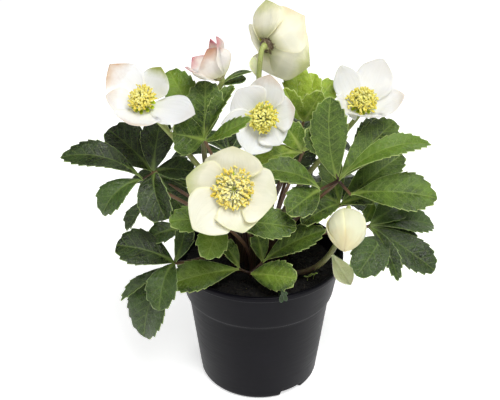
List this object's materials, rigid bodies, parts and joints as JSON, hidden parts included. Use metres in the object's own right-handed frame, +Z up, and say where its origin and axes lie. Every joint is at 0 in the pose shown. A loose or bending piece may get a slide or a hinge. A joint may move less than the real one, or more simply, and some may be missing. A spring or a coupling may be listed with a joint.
{
  "type": "potted hellebore plant",
  "caption": "Christmas rose in flower: divided evergreen leaves, open white blooms with yellow stamens and a hanging bud, rooted in a round tapered black nursery pot.",
  "frame": {"origin": "middle of the flat underside of the pot, on the surface that it stands on", "axes": "+Z up through the pot and the plant, -Y towards the front of the plant, +X to the right seen from the front"},
  "size_m": [0.2699, 0.1859, 0.2987],
  "materials": {
    "pot_plastic": "thin black polypropylene, satin",
    "potting_mix": "moist dark peat crumbs",
    "leaf_dark": "mature leaf, leathery, glossy",
    "leaf_mid": "leaf, leathery, glossy, pale veins",
    "leaf_fresh": "young leaf, soft, satin",
    "flower_stem": "fleshy stem, satin, speckled",
    "sepal_white": "waxy white sepal, satin",
    "sepal_cream": "waxy cream sepal, satin",
    "sepal_blush": "waxy white sepal with rose edges, satin",
    "stamen": "dusty yellow anthers on pale filaments",
    "nectary": "small green-yellow trumpets, satin"
  },
  "bodies": {
    "root": {"pot": "pot_plastic", "potting_soil": "potting_mix", "leaf_front": "leaf_mid", "leaf_lower_left": "leaf_dark", "leaf_behind_bloom": "leaf_mid", "leaf_left_long": "leaf_dark", "leaf_left_upper": "leaf_dark", "leaf_centre_left": "leaf_mid", "leaf_young": "leaf_fresh", "leaf_young_low": "leaf_fresh", "leaf_centre": "leaf_dark", "leaf_right": "leaf_mid", "leaf_lower_right": "leaf_dark", "leaf_curled": "leaf_mid", "leaf_back_right": "leaf_dark", "leaf_back_right_high": "leaf_dark", "leaf_back": "leaf_dark", "leaf_back_left_high": "leaf_dark", "leaf_back_left": "leaf_dark", "bloom_front_stem": "flower_stem", "bloom_front_sepals": "sepal_cream", "bloom_front_stamens": "stamen", "bloom_front_nectaries": "nectary", "bloom_centre_stem": "flower_stem", "bloom_centre_sepals": "sepal_white", "bloom_centre_stamens": "stamen", "bloom_centre_nectaries": "nectary", "bloom_left_stem": "flower_stem", "bloom_left_sepals": "sepal_white", "bloom_left_stamens": "stamen", "bloom_left_nectaries": "nectary", "bloom_right_stem": "flower_stem", "bloom_right_sepals": "sepal_white", "bloom_right_stamens": "stamen", "bloom_right_nectaries": "nectary", "bloom_back_stem": "flower_stem", "bloom_back_sepals": "sepal_cream", "bloom_back_stamens": "stamen", "bloom_back_nectaries": "nectary", "bloom_pink_stem": "flower_stem", "bloom_pink_sepals": "sepal_blush", "bloom_pink_stamens": "stamen", "bloom_pink_nectaries": "nectary", "bud_stem": "flower_stem", "bud_sepals": "sepal_cream"}
  },
  "joints": []
}
